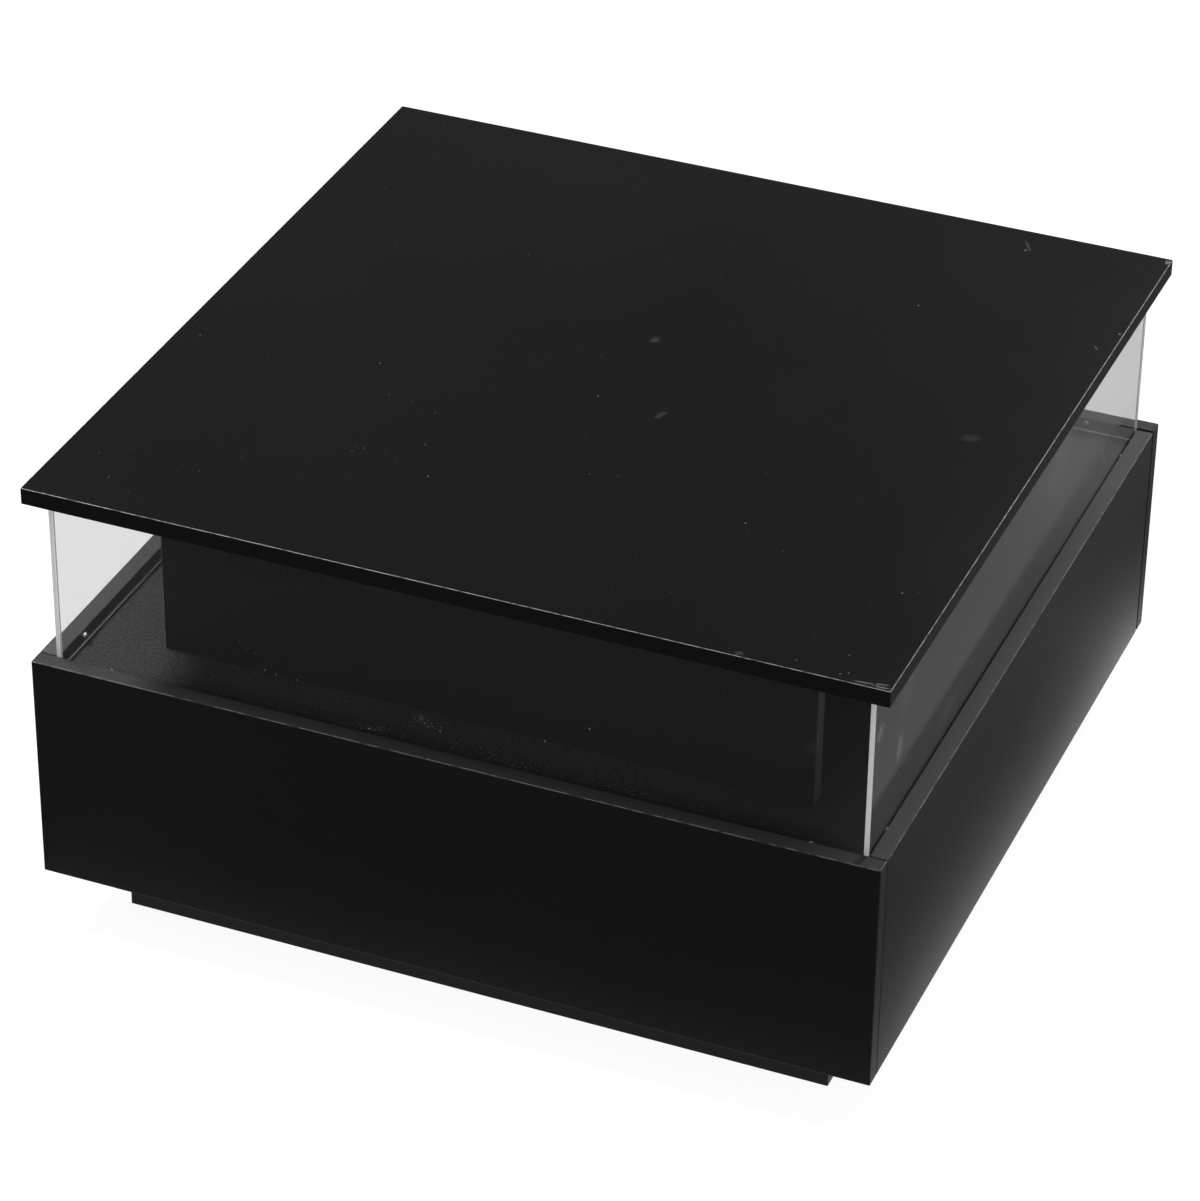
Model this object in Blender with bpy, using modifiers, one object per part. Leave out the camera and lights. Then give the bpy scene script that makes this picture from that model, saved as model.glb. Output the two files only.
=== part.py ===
"""Square display coffee table. A box of faced boards stands on a recessed plinth. Clear panels
stand on the display floor inside its rim, an upright core carries the lid, and the lid lifts off.
The front is at -Y, and the origin is on the ground under the middle of the table."""

import math

import bmesh
import bpy
from mathutils import Matrix, Vector

# Overall sizes
WIDTH = 0.800
DEPTH = 0.800
BOARD = 0.016
LID_BOARD = 0.016
PLINTH_HEIGHT = 0.060
PLINTH_INSET = 0.057
BASE_HEIGHT = 0.228
WINDOW_HEIGHT = 0.164
FLOOR_DROP = 0.013

# Clear panels and their screws
PANEL = 0.004
PANEL_SCREW_FROM_END = 0.049
PANEL_SCREW_DROP = 0.0052
PANEL_SCREW_LENGTH = 0.016
PANEL_SCREW_RADIUS = 0.0019
PAN_HEAD_RADIUS = 0.0032
PAN_HEAD_HEIGHT = 0.0022
PAN_HEAD_RIM = 0.0012

# Core that carries the lid
SIDE_GALLERY = 0.0692
FRONT_GALLERY = 0.0652
CORE_DOWEL_SPACING = 0.400
SPINE_DOWEL_SPACING = 0.300
SPINE_DOWEL_EDGE = 0.045

# Dowels
DOWEL_RADIUS = 0.004
DOWEL_SHORT_END = 0.010
DOWEL_LONG_END = 0.015
DOWEL_CHAMFER = 0.0008

# Locating battens under the lid
BATTEN_WIDTH = 0.020
BATTEN_HEIGHT = 0.020
BATTEN_SCREW_FROM_END = 0.0765
BATTEN_SCREW_LENGTH = 0.028
BATTEN_SCREW_RADIUS = 0.0018
COUNTERSUNK_HEAD_RADIUS = 0.0036
COUNTERSUNK_HEAD_HEIGHT = 0.0022
TIP_LENGTH_PER_RADIUS = 1.6

# Blocks, cleats and bearers inside the base and the plinth
BASE_BLOCK = 0.030
PLINTH_BLOCK = 0.030
PLINTH_BLOCK_HEIGHT = 0.045
CLEAT_WIDTH = 0.020
CLEAT_HEIGHT = 0.020
BEARER = 0.016

# Clearances
SEAT = 0.0003
PANEL_PLAY = 0.0008
LID_PLAY = 0.0015
HOLE_PLAY = 0.0003
HOLE_SPARE_DEPTH = 0.001
BACK_SEAM = 0.003
FRONT_SEAM = 0.001

# Edges
BOARD_ARRIS = 0.0006
BATTEN_ARRIS = 0.001
PANEL_ARRIS = 0.0003
ROUND_SIDES = 16

# Levels above the ground
BASE_BOTTOM = PLINTH_HEIGHT
RIM = BASE_BOTTOM + BASE_HEIGHT
FLOOR_TOP = RIM - FLOOR_DROP
FLOOR_BOTTOM = FLOOR_TOP - BOARD
BOTTOM_PANEL_TOP = BASE_BOTTOM + BOARD
LID_BOTTOM = RIM + WINDOW_HEIGHT
LID_TOP = LID_BOTTOM + LID_BOARD
BATTEN_BOTTOM = LID_BOTTOM - SEAT - BATTEN_HEIGHT
PANEL_SCREW_LEVEL = RIM - PANEL_SCREW_DROP

# Half sizes in plan
HALF_WIDTH = WIDTH / 2
HALF_DEPTH = DEPTH / 2
INSIDE_X = HALF_WIDTH - BOARD
INSIDE_Y = HALF_DEPTH - BOARD
PANEL_FACE_X = INSIDE_X - PANEL_PLAY - PANEL
PANEL_FACE_Y = INSIDE_Y - PANEL_PLAY - PANEL
CORE_OUTSIDE_X = PANEL_FACE_X - SIDE_GALLERY
CORE_OUTSIDE_Y = PANEL_FACE_Y - FRONT_GALLERY
CORE_INSIDE_Y = CORE_OUTSIDE_Y - BOARD
CORE_MIDDLE_Y = CORE_OUTSIDE_Y - BOARD / 2
BATTEN_INNER_X = BOARD / 2 + LID_PLAY
BATTEN_MIDDLE_X = BATTEN_INNER_X + BATTEN_WIDTH / 2

SIDES = (("left", -1), ("right", 1))
ENDS = (("front", -1), ("back", 1))


def clear_scene():
    for obj in list(bpy.data.objects):
        bpy.data.objects.remove(obj)


def new_collection(name, hidden=False):
    collection = bpy.data.collections.new(name)
    bpy.context.scene.collection.children.link(collection)
    collection.hide_render = hidden
    return collection


def plain_material(name, colour, roughness, metallic=0.0):
    material = bpy.data.materials.new(name)
    material.use_nodes = True
    surface = material.node_tree.nodes["Principled BSDF"]
    surface.inputs["Base Color"].default_value = (*colour, 1.0)
    surface.inputs["Roughness"].default_value = roughness
    surface.inputs["Metallic"].default_value = metallic
    material.diffuse_color = (*colour, 1.0)
    return material


def black_board_material(name):
    return plain_material(name, (0.012, 0.012, 0.013), 0.38)


def floor_board_material(name):
    return plain_material(name, (0.022, 0.022, 0.023), 0.55)


def clear_material(name):
    material = plain_material(name, (0.94, 0.96, 0.96), 0.03)
    surface = material.node_tree.nodes["Principled BSDF"]
    surface.inputs["Transmission Weight"].default_value = 1.0
    surface.inputs["IOR"].default_value = 1.49
    material.diffuse_color = (0.85, 0.92, 0.95, 0.35)
    return material


def steel_material(name):
    return plain_material(name, (0.62, 0.62, 0.61), 0.28, metallic=1.0)


def pine_material(name):
    return plain_material(name, (0.60, 0.43, 0.25), 0.65)


def place(mesh, name, location, material, rotation=None):
    obj = bpy.data.objects.new(name, mesh)
    obj.location = location
    if rotation is not None:
        obj.rotation_euler = rotation.to_euler()
    mesh.materials.append(material)
    PARTS.objects.link(obj)
    return obj


def empty(name, location):
    """A marker with no shape of its own, which moving pieces are parented to."""
    marker = bpy.data.objects.new(name, None)
    marker.location = location
    marker.empty_display_size = 0.1
    PARTS.objects.link(marker)
    return marker


def carry(pieces, marker):
    """Parents the pieces to a marker and leaves them where they are."""
    for piece in pieces:
        piece.parent = marker
        piece.matrix_parent_inverse = Matrix.Translation(-marker.location)


def box_mesh(name, size):
    mesh = bpy.data.meshes.new(name)
    cage = bmesh.new()
    bmesh.ops.create_cube(cage, size=1.0)
    bmesh.ops.scale(cage, vec=size, verts=cage.verts)
    cage.to_mesh(mesh)
    cage.free()
    return mesh


def box(name, low, high, material, arris):
    """A board or block between two opposite corners, with its edges eased by arris."""
    low, high = Vector(low), Vector(high)
    obj = place(box_mesh(name, high - low), name, (low + high) / 2, material(name))
    ease = obj.modifiers.new("eased_edges", "BEVEL")
    ease.width = arris
    ease.segments = 1
    return obj


def towards(direction):
    """The rotation that turns local +Z to a direction."""
    return Vector(direction).to_track_quat("Z", "Y").to_matrix()


def drill(target, name, mouth, direction, radius, depth):
    """Cuts a round hole that starts outside the mouth and runs along the direction for depth."""
    lead_in = radius
    length = depth + lead_in
    mesh = bpy.data.meshes.new(name)
    cage = bmesh.new()
    bmesh.ops.create_cone(
        cage, cap_ends=True, segments=ROUND_SIDES, radius1=radius, radius2=radius, depth=length
    )
    cage.to_mesh(mesh)
    cage.free()
    cutter = bpy.data.objects.new(name, mesh)
    direction = Vector(direction).normalized()
    cutter.location = Vector(mouth) + direction * (length / 2 - lead_in)
    cutter.rotation_euler = towards(direction).to_euler()
    cutter.hide_render = True
    cutter.display_type = "WIRE"
    CUTTERS.objects.link(cutter)
    cut = target.modifiers.new(name, "BOOLEAN")
    cut.operation = "DIFFERENCE"
    cut.solver = "EXACT"
    cut.object = cutter


def turned(name, profile, location, direction, material):
    """A round piece turned about local Z from (radius, height) pairs that run from top to bottom."""
    mesh = bpy.data.meshes.new(name)
    outline = bmesh.new()
    points = [outline.verts.new((radius, 0.0, height)) for radius, height in profile]
    for upper, lower in zip(points, points[1:]):
        outline.edges.new((upper, lower))
    outline.to_mesh(mesh)
    outline.free()
    obj = place(mesh, name, location, material(name), towards(direction))
    spin = obj.modifiers.new("turned", "SCREW")
    spin.angle = 2 * math.pi
    spin.steps = ROUND_SIDES
    spin.render_steps = ROUND_SIDES
    spin.use_merge_vertices = True
    spin.merge_threshold = 0.00001
    spin.use_smooth_shade = True
    return obj


def pan_screw(name, seat, direction):
    """A screw whose domed head stands on the seat, with its shank pointing away from direction."""
    tip = TIP_LENGTH_PER_RADIUS * PANEL_SCREW_RADIUS
    crown = PAN_HEAD_HEIGHT - PAN_HEAD_RIM
    dome = []
    for degrees in (0, 30, 60, 90):
        turn = math.radians(degrees)
        dome.append((PAN_HEAD_RADIUS * math.sin(turn), PAN_HEAD_RIM + crown * math.cos(turn)))
    shank = [
        (PAN_HEAD_RADIUS, 0.0),
        (PANEL_SCREW_RADIUS, 0.0),
        (PANEL_SCREW_RADIUS, tip - PANEL_SCREW_LENGTH),
        (0.0, -PANEL_SCREW_LENGTH),
    ]
    return turned(name, dome + shank, seat, direction, steel_material)


def countersunk_screw(name, face, direction):
    """A screw whose flat head is flush with the face, with its shank pointing away from direction."""
    tip = TIP_LENGTH_PER_RADIUS * BATTEN_SCREW_RADIUS
    profile = [
        (0.0, 0.0),
        (COUNTERSUNK_HEAD_RADIUS, 0.0),
        (BATTEN_SCREW_RADIUS, -COUNTERSUNK_HEAD_HEIGHT),
        (BATTEN_SCREW_RADIUS, tip - BATTEN_SCREW_LENGTH),
        (0.0, -BATTEN_SCREW_LENGTH),
    ]
    return turned(name, profile, face, direction, steel_material)


def dowel(name, joint, direction):
    """A dowel across a joint, with its long end along the direction and its short end behind it."""
    radius, chamfer = DOWEL_RADIUS, DOWEL_CHAMFER
    profile = [
        (0.0, DOWEL_LONG_END),
        (radius - chamfer, DOWEL_LONG_END),
        (radius, DOWEL_LONG_END - chamfer),
        (radius, chamfer - DOWEL_SHORT_END),
        (radius - chamfer, -DOWEL_SHORT_END),
        (0.0, -DOWEL_SHORT_END),
    ]
    return turned(name, profile, joint, direction, pine_material)


def dowel_joint(name, joint, direction, short_piece, long_piece):
    """Drills both pieces at a joint and sets a dowel in the two holes."""
    direction = Vector(direction)
    radius = DOWEL_RADIUS + HOLE_PLAY
    drill(long_piece, name + "_long_hole", joint, direction, radius, DOWEL_LONG_END + HOLE_SPARE_DEPTH)
    drill(short_piece, name + "_short_hole", joint, -direction, radius, DOWEL_SHORT_END + HOLE_SPARE_DEPTH)
    dowel(name, joint, direction)


def plinth():
    """Four boards on edge, set back under the base, with a glued block in each corner."""
    outer_x, outer_y = HALF_WIDTH - PLINTH_INSET, HALF_DEPTH - PLINTH_INSET
    inner_x, inner_y = outer_x - BOARD, outer_y - BOARD
    top = BASE_BOTTOM - SEAT
    for name, end in ENDS:
        near, far = sorted((end * inner_y, end * outer_y))
        low, high = (-outer_x, near, 0.0), (outer_x, far, top)
        box("plinth_" + name, low, high, black_board_material, BOARD_ARRIS)
    for name, side in SIDES:
        near, far = sorted((side * inner_x, side * outer_x))
        low, high = (near, SEAT - inner_y, 0.0), (far, inner_y - SEAT, top)
        box("plinth_" + name, low, high, black_board_material, BOARD_ARRIS)
    for side_name, side in SIDES:
        for end_name, end in ENDS:
            x = sorted((side * (inner_x - SEAT), side * (inner_x - SEAT - PLINTH_BLOCK)))
            y = sorted((end * (inner_y - SEAT), end * (inner_y - SEAT - PLINTH_BLOCK)))
            low, high = (x[0], y[0], top - PLINTH_BLOCK_HEIGHT), (x[1], y[1], top)
            box(f"plinth_block_{end_name}_{side_name}", low, high, pine_material, BATTEN_ARRIS)


def base_box():
    """Front and back boards lap over the side boards, which stop short of the back board."""
    boards = {}
    for name, end in ENDS:
        near, far = sorted((end * INSIDE_Y, end * HALF_DEPTH))
        low, high = (-HALF_WIDTH, near, BASE_BOTTOM), (HALF_WIDTH, far, RIM)
        boards[name] = box("base_" + name, low, high, black_board_material, BOARD_ARRIS)
    for name, side in SIDES:
        near, far = sorted((side * INSIDE_X, side * HALF_WIDTH))
        low = (near, FRONT_SEAM - INSIDE_Y, BASE_BOTTOM)
        high = (far, INSIDE_Y - BACK_SEAM, RIM)
        boards[name] = box("base_" + name, low, high, black_board_material, BOARD_ARRIS)
    x, y = INSIDE_X - SEAT, INSIDE_Y - SEAT
    low, high = (-x, -y, BASE_BOTTOM), (x, y, BOTTOM_PANEL_TOP)
    box("bottom_panel", low, high, black_board_material, BOARD_ARRIS)
    return boards


def floor_carriers():
    """Corner blocks, cleats along the boards and two bearers under the core hold the floor up."""
    foot, head = BOTTOM_PANEL_TOP + SEAT, FLOOR_BOTTOM - SEAT
    x, y = INSIDE_X - SEAT, INSIDE_Y - SEAT
    for side_name, side in SIDES:
        for end_name, end in ENDS:
            block_x = sorted((side * x, side * (x - BASE_BLOCK)))
            block_y = sorted((end * y, end * (y - BASE_BLOCK)))
            low, high = (block_x[0], block_y[0], foot), (block_x[1], block_y[1], head)
            box(f"base_block_{end_name}_{side_name}", low, high, pine_material, BATTEN_ARRIS)
    run_x, run_y = x - BASE_BLOCK - SEAT, y - BASE_BLOCK - SEAT
    for name, end in ENDS:
        across = sorted((end * y, end * (y - CLEAT_WIDTH)))
        low, high = (-run_x, across[0], head - CLEAT_HEIGHT), (run_x, across[1], head)
        box("floor_cleat_" + name, low, high, pine_material, BATTEN_ARRIS)
    for name, side in SIDES:
        across = sorted((side * x, side * (x - CLEAT_WIDTH)))
        low, high = (across[0], -run_y, head - CLEAT_HEIGHT), (across[1], run_y, head)
        box("floor_cleat_" + name, low, high, pine_material, BATTEN_ARRIS)
    bearer_x = x - CLEAT_WIDTH - SEAT
    for name, end in ENDS:
        middle = end * CORE_MIDDLE_Y
        low = (-bearer_x, middle - BEARER / 2, foot)
        high = (bearer_x, middle + BEARER / 2, head)
        box("floor_bearer_" + name, low, high, black_board_material, BOARD_ARRIS)


def display_floor():
    x, y = INSIDE_X - SEAT, INSIDE_Y - SEAT
    low, high = (-x, -y, FLOOR_BOTTOM), (x, y, FLOOR_TOP)
    return box("display_floor", low, high, floor_board_material, BOARD_ARRIS)


def core(floor):
    """Two upright boards joined by a spine. They stand on dowels in the floor and carry the lid."""
    foot, head = FLOOR_TOP + SEAT, LID_BOTTOM - SEAT
    uprights = {}
    for name, end in ENDS:
        near, far = sorted((end * CORE_INSIDE_Y, end * CORE_OUTSIDE_Y))
        low, high = (-CORE_OUTSIDE_X, near, foot), (CORE_OUTSIDE_X, far, head)
        uprights[name] = box("core_" + name, low, high, black_board_material, BOARD_ARRIS)
    reach = CORE_INSIDE_Y - SEAT
    low, high = (-BOARD / 2, -reach, foot), (BOARD / 2, reach, head)
    spine = box("core_spine", low, high, black_board_material, BOARD_ARRIS)
    up = (0.0, 0.0, 1.0)
    for end_name, end in ENDS:
        for side_name, side in SIDES:
            joint = (side * CORE_DOWEL_SPACING / 2, end * CORE_MIDDLE_Y, FLOOR_TOP)
            name = f"core_dowel_{end_name}_{side_name}"
            dowel_joint(name, joint, up, floor, uprights[end_name])
        joint = (0.0, end * SPINE_DOWEL_SPACING / 2, FLOOR_TOP)
        dowel_joint("spine_dowel_" + end_name, joint, up, floor, spine)
        levels = (("low", foot + SPINE_DOWEL_EDGE), ("high", head - SPINE_DOWEL_EDGE))
        for level_name, level in levels:
            joint = (0.0, end * CORE_INSIDE_Y, level)
            name = f"spine_end_dowel_{end_name}_{level_name}"
            dowel_joint(name, joint, (0.0, -end, 0.0), uprights[end_name], spine)


def screw_panel(panel, board, name, seat, inward):
    """Fixes a clear panel to the board behind it. The seat is on the panel's inner face."""
    outward = -Vector(inward)
    radius = PANEL_SCREW_RADIUS + HOLE_PLAY
    depth = PANEL_SCREW_LENGTH + HOLE_SPARE_DEPTH
    drill(panel, name + "_panel_hole", seat, outward, radius, PANEL + PANEL_PLAY / 2)
    drill(board, name + "_board_hole", seat, outward, radius, depth)
    pan_screw(name, Vector(seat) + Vector(inward) * SEAT, inward)


def windows(boards):
    """Side panels run from front board to back board, and the other two stand between them."""
    foot, head = FLOOR_TOP + SEAT, LID_BOTTOM - SEAT
    along_y = INSIDE_Y - PANEL_PLAY
    along_x = PANEL_FACE_X - SEAT
    screw_x, screw_y = along_x - PANEL_SCREW_FROM_END, along_y - PANEL_SCREW_FROM_END
    for name, side in SIDES:
        across = sorted((side * PANEL_FACE_X, side * (PANEL_FACE_X + PANEL)))
        low, high = (across[0], -along_y, foot), (across[1], along_y, head)
        panel = box("window_" + name, low, high, clear_material, PANEL_ARRIS)
        for end_name, end in ENDS:
            seat = (side * PANEL_FACE_X, end * screw_y, PANEL_SCREW_LEVEL)
            screw = f"window_screw_{name}_{end_name}"
            screw_panel(panel, boards[name], screw, seat, (-side, 0.0, 0.0))
    for name, end in ENDS:
        across = sorted((end * PANEL_FACE_Y, end * (PANEL_FACE_Y + PANEL)))
        low, high = (-along_x, across[0], foot), (along_x, across[1], head)
        panel = box("window_" + name, low, high, clear_material, PANEL_ARRIS)
        for side_name, side in SIDES:
            seat = (side * screw_x, end * PANEL_FACE_Y, PANEL_SCREW_LEVEL)
            screw = f"window_screw_{name}_{side_name}"
            screw_panel(panel, boards[name], screw, seat, (0.0, -end, 0.0))


def lid():
    """The top board lies on the core and the panels. Two battens straddle the spine and keep it in place."""
    low, high = (-HALF_WIDTH, -HALF_DEPTH, LID_BOTTOM), (HALF_WIDTH, HALF_DEPTH, LID_TOP)
    top = box("top_board", low, high, black_board_material, BOARD_ARRIS)
    pieces = [top]
    reach = CORE_INSIDE_Y - LID_PLAY
    screw_y = reach - BATTEN_SCREW_FROM_END
    radius = BATTEN_SCREW_RADIUS + HOLE_PLAY
    head_radius = COUNTERSUNK_HEAD_RADIUS + HOLE_PLAY
    up = (0.0, 0.0, 1.0)
    for side_name, side in SIDES:
        across = sorted((side * BATTEN_INNER_X, side * (BATTEN_INNER_X + BATTEN_WIDTH)))
        low = (across[0], -reach, BATTEN_BOTTOM)
        high = (across[1], reach, LID_BOTTOM - SEAT)
        batten = box("lid_batten_" + side_name, low, high, pine_material, BATTEN_ARRIS)
        pieces.append(batten)
        for end_name, end in ENDS:
            name = f"batten_screw_{side_name}_{end_name}"
            face = Vector((side * BATTEN_MIDDLE_X, end * screw_y, BATTEN_BOTTOM))
            depth = BATTEN_SCREW_LENGTH + HOLE_SPARE_DEPTH
            drill(batten, name + "_batten_hole", face, up, radius, BATTEN_HEIGHT + SEAT)
            head_depth = COUNTERSUNK_HEAD_HEIGHT + HOLE_PLAY
            drill(batten, name + "_head_hole", face, up, head_radius, head_depth)
            drill(top, name + "_board_hole", face, up, radius, depth)
            pieces.append(countersunk_screw(name, face, (0.0, 0.0, -1.0)))
    carry(pieces, empty("lid_lift_axis", Vector((0.0, 0.0, LID_BOTTOM))))


clear_scene()
PARTS = new_collection("display_coffee_table")
CUTTERS = new_collection("cutters", hidden=True)
plinth()
base_boards = base_box()
floor_carriers()
core(display_floor())
windows(base_boards)
lid()
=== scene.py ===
"""Looks of the square display coffee table: black faced boards with edge bands, clear panels with
sawn edges, cross recessed screws and planed pine. Sizes are metres, and the front faces -Y."""

import math

import bmesh
import bpy
from mathutils import Matrix, Vector


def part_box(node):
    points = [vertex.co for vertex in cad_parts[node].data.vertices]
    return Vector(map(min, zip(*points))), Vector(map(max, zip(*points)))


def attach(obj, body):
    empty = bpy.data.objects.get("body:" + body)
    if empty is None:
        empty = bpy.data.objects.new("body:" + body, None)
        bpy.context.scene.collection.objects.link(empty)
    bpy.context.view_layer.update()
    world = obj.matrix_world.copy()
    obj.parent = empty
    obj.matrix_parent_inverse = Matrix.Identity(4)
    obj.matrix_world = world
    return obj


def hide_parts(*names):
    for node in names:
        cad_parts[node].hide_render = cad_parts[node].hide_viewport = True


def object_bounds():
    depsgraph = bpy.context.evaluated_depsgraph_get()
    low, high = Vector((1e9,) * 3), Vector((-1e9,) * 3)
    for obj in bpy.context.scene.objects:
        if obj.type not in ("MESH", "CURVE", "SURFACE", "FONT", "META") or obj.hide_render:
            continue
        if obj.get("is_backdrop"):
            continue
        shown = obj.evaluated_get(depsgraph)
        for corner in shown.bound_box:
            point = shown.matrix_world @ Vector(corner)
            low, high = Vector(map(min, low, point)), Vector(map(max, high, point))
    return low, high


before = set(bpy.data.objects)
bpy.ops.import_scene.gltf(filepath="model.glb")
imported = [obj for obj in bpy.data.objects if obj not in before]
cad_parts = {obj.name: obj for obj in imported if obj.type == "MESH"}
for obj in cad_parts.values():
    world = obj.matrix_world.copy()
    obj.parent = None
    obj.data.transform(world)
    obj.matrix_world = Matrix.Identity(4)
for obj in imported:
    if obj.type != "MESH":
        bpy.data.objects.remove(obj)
cad_low, cad_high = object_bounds()


# Camera
# It stands off the front right corner and looks down on the top board. Place, turn and focal
# length follow from the straight edges in the photograph, and the frame needs no shift.
CAMERA_PLACE = Vector((1.3787, -3.4538, 2.6066))
CAMERA_AZIMUTH = math.radians(22.018)
CAMERA_ELEVATION = math.radians(32.709)
CAMERA_ROLL = math.radians(0.767)
SENSOR_WIDTH = 36.0
FOCAL_LENGTH = 141.825
CLIP_START, CLIP_END = 0.05, 60.0

lens = bpy.data.cameras.new("camera")
lens.sensor_fit = "HORIZONTAL"
lens.sensor_width = SENSOR_WIDTH
lens.lens = FOCAL_LENGTH
lens.clip_start, lens.clip_end = CLIP_START, CLIP_END
camera = bpy.data.objects.new("camera", lens)
swing = Matrix.Rotation(CAMERA_AZIMUTH, 4, "Z")
tilt = Matrix.Rotation(math.pi / 2 - CAMERA_ELEVATION, 4, "X")
roll = Matrix.Rotation(CAMERA_ROLL, 4, "Z")
camera.matrix_world = Matrix.Translation(CAMERA_PLACE) @ swing @ tilt @ roll
bpy.context.scene.collection.objects.link(camera)
bpy.context.scene.camera = camera
bpy.context.scene.view_settings.view_transform = "Standard"


# Studio floor
# A wide pale sweep. The camera finds it white with a faint shadow, also through the clear panels.
# Mirrored in the boards and panels it glows as painted light, bright only close to the table, dimmed
# under it as a painted shadow, and darkest in front.
FLOOR_REACH = 9.0
FLOOR_DROP = 0.0004
FLOOR_GLOW_TO_CAMERA = 0.94
FLOOR_PAINT_TO_CAMERA = 0.16
FLOOR_PAINT = 0.55
NEAR_GLOSS_FRONT, NEAR_GLOSS_SIDE, NEAR_GLOSS_BACK = 1.15, 1.75, 3.2
NEAR_GLOSS_REACH = 0.018
FRONT_TO_SIDE, SIDE_TO_BACK = (-0.36, -0.08), (0.2, 0.6)
FAR_GLOSS_FRONT, FAR_GLOSS_BACK = 0.040, 0.14
FAR_FRONT_TO_BACK = (0.2, 1.2)
OUTER_GLOSS = 0.165
OUTER_START, OUTER_END = 0.122, 0.134
OUTER_FRONT_TO_BACK = (-0.2, 0.1)
PAST_FRONT_SHARE, PAST_BACK_SHARE = 0.5, 0.3
UNDER_TABLE_SHARE = 0.3
UNDER_TABLE_FADE = 0.004
TABLE_HALF = cad_high.x


def feed(tree, socket, value):
    """Sets a socket to a number or colour, or links it where the value is another socket."""
    if isinstance(value, bpy.types.NodeSocket):
        tree.links.new(value, socket)
    else:
        socket.default_value = value


def figure(tree, operation, *values):
    """A Math node on the values, each a number or a socket."""
    node = tree.nodes.new("ShaderNodeMath")
    node.operation = operation
    for socket, value in zip(node.inputs, values):
        feed(tree, socket, value)
    return node.outputs[0]


def graded(tree, value, start, end, low, high, smooth=True):
    """Takes a value from its range start to end over to low to high, and clamps it there."""
    node = tree.nodes.new("ShaderNodeMapRange")
    node.interpolation_type = "SMOOTHSTEP" if smooth else "LINEAR"
    sockets = ("Value", "From Min", "From Max", "To Min", "To Max")
    for name, bound in zip(sockets, (value, start, end, low, high)):
        feed(tree, node.inputs[name], bound)
    return node.outputs["Result"]


def seen_directly(tree, ray):
    """1 for the camera, and for a look through clear panels that no surface has mirrored."""
    straight = figure(tree, "LESS_THAN", ray.outputs["Glossy Depth"], 0.5)
    through = figure(tree, "MULTIPLY", ray.outputs["Is Transmission Ray"], straight)
    return figure(tree, "MAXIMUM", ray.outputs["Is Camera Ray"], through)


def mixed(tree, share, first, second):
    """A Mix Shader between two shader nodes."""
    node = tree.nodes.new("ShaderNodeMixShader")
    feed(tree, node.inputs["Fac"], share)
    tree.links.new(first.outputs[0], node.inputs[1])
    tree.links.new(second.outputs[0], node.inputs[2])
    return node


def matt(tree, level):
    """A plain matt grey."""
    node = tree.nodes.new("ShaderNodeBsdfDiffuse")
    node.inputs["Color"].default_value = (level, level, level, 1.0)
    return node


floor_material = bpy.data.materials.new("studio_floor")
floor_material.use_nodes = True
sweep = floor_material.node_tree
sweep.nodes.clear()
floor_ray = sweep.nodes.new("ShaderNodeLightPath")
floor_point = sweep.nodes.new("ShaderNodeSeparateXYZ")
sweep.links.new(sweep.nodes.new("ShaderNodeTexCoord").outputs["Object"], floor_point.inputs[0])
across, depth = floor_point.outputs["X"], floor_point.outputs["Y"]
past_side = graded(sweep, figure(sweep, "ABSOLUTE", across), TABLE_HALF, TABLE_HALF + 1, 0.0, 1.0, False)
past_front = graded(sweep, depth, -TABLE_HALF, -TABLE_HALF - 1, 0.0, PAST_FRONT_SHARE, False)
past_back = graded(sweep, depth, TABLE_HALF, TABLE_HALF + 1, 0.0, PAST_BACK_SHARE, False)
distance = figure(sweep, "MAXIMUM", past_side, figure(sweep, "ADD", past_front, past_back))
fading = figure(sweep, "EXPONENT", figure(sweep, "DIVIDE", distance, -NEAR_GLOSS_REACH))
near_level = graded(sweep, depth, *FRONT_TO_SIDE, NEAR_GLOSS_FRONT, NEAR_GLOSS_SIDE)
near_level = graded(sweep, depth, *SIDE_TO_BACK, near_level, NEAR_GLOSS_BACK)
outward = figure(sweep, "MAXIMUM", figure(sweep, "ABSOLUTE", across), figure(sweep, "ABSOLUTE", depth))
# Painted shadow: under the table the mirrored glow falls to a share of its level.
painted_table_shadow = graded(sweep, outward, TABLE_HALF - UNDER_TABLE_FADE, TABLE_HALF, UNDER_TABLE_SHARE, 1.0)
near_level = figure(sweep, "MULTIPLY", near_level, painted_table_shadow)
far_level = graded(sweep, depth, *FAR_FRONT_TO_BACK, FAR_GLOSS_FRONT, FAR_GLOSS_BACK)
outer_right = graded(sweep, across, TABLE_HALF + OUTER_START, TABLE_HALF + OUTER_END, 0.0, 1.0)
outer_right = figure(sweep, "MULTIPLY", outer_right, graded(sweep, depth, *OUTER_FRONT_TO_BACK, 0.0, 1.0))
far_level = graded(sweep, outer_right, 0.0, 1.0, far_level, OUTER_GLOSS, False)
mirrored_floor = sweep.nodes.new("ShaderNodeEmission")
feed(sweep, mirrored_floor.inputs["Strength"], figure(sweep, "MULTIPLY_ADD", fading, near_level, far_level))
white_floor = sweep.nodes.new("ShaderNodeEmission")
white_floor.inputs["Strength"].default_value = FLOOR_GLOW_TO_CAMERA
shaded_white = sweep.nodes.new("ShaderNodeAddShader")
sweep.links.new(white_floor.outputs[0], shaded_white.inputs[0])
sweep.links.new(matt(sweep, FLOOR_PAINT_TO_CAMERA).outputs[0], shaded_white.inputs[1])
lit_floor = mixed(sweep, floor_ray.outputs["Is Glossy Ray"], matt(sweep, FLOOR_PAINT), mirrored_floor)
floor_surface = mixed(sweep, seen_directly(sweep, floor_ray), lit_floor, shaded_white)
sweep.links.new(floor_surface.outputs[0], sweep.nodes.new("ShaderNodeOutputMaterial").inputs["Surface"])

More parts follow.
